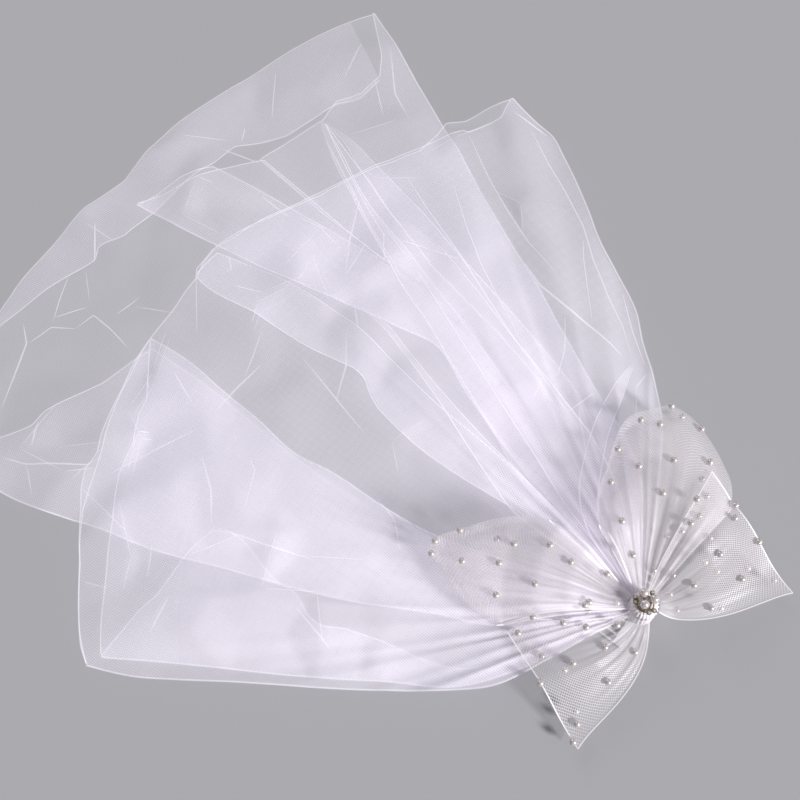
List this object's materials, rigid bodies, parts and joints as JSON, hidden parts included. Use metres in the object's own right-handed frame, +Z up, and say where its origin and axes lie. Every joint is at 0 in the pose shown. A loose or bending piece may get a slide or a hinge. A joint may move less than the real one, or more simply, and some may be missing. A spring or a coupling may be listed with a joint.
{
  "type": "short tulle bridal veil",
  "caption": "Short tulle bridal veil in folded tiers laid out flat, gathered under a stiff net bow with sewn pearls and a small brooch, on a hidden hair comb.",
  "frame": {"origin": "middle of the base, on the surface that the veil lies on", "axes": "+Z up from the surface; seen from above with +Y up the page, the bow is at the lower right and the veil fans out towards -X and +Y"},
  "size_m": [0.6098, 0.6108, 0.0588],
  "materials": {
    "tulle": "sheer lilac white nylon tulle",
    "bow_net": "stiff open net",
    "pearl": "pearl lustre",
    "gold_tone": "polished gold tone",
    "clear_stone": "clear, cut",
    "comb_plastic": "plain moulded"
  },
  "bodies": {
    "root": {"veil_tier_long": "tulle", "veil_tier_short": "tulle", "bow_loop_left": "bow_net", "bow_loop_right": "bow_net", "bow_tail_left": "bow_net", "bow_tail_right": "bow_net", "bow_knot": "bow_net", "brooch_setting": "gold_tone", "brooch_pearl_1": "pearl", "brooch_pearl_2": "pearl", "brooch_pearl_3": "pearl", "brooch_stone_1": "clear_stone", "brooch_stone_2": "clear_stone", "brooch_stone_3": "clear_stone", "brooch_stone_4": "clear_stone", "brooch_stone_5": "clear_stone", "pearl_01": "pearl", "pearl_02": "pearl", "pearl_03": "pearl", "pearl_04": "pearl", "pearl_05": "pearl", "pearl_06": "pearl", "pearl_07": "pearl", "pearl_08": "pearl", "pearl_09": "pearl", "pearl_10": "pearl", "pearl_11": "pearl", "pearl_12": "pearl", "pearl_13": "pearl", "pearl_14": "pearl", "pearl_15": "pearl", "pearl_16": "pearl", "pearl_17": "pearl", "pearl_18": "pearl", "pearl_19": "pearl", "pearl_20": "pearl", "pearl_21": "pearl", "pearl_22": "pearl", "pearl_23": "pearl", "pearl_24": "pearl", "pearl_25": "pearl", "pearl_26": "pearl", "pearl_27": "pearl", "pearl_28": "pearl", "pearl_29": "pearl", "pearl_30": "pearl", "pearl_31": "pearl", "pearl_32": "pearl", "pearl_33": "pearl", "pearl_34": "pearl", "pearl_35": "pearl", "pearl_36": "pearl", "pearl_37": "pearl", "pearl_38": "pearl", "pearl_39": "pearl", "pearl_40": "pearl", "pearl_41": "pearl", "pearl_42": "pearl", "hair_comb": "comb_plastic"}
  },
  "joints": []
}
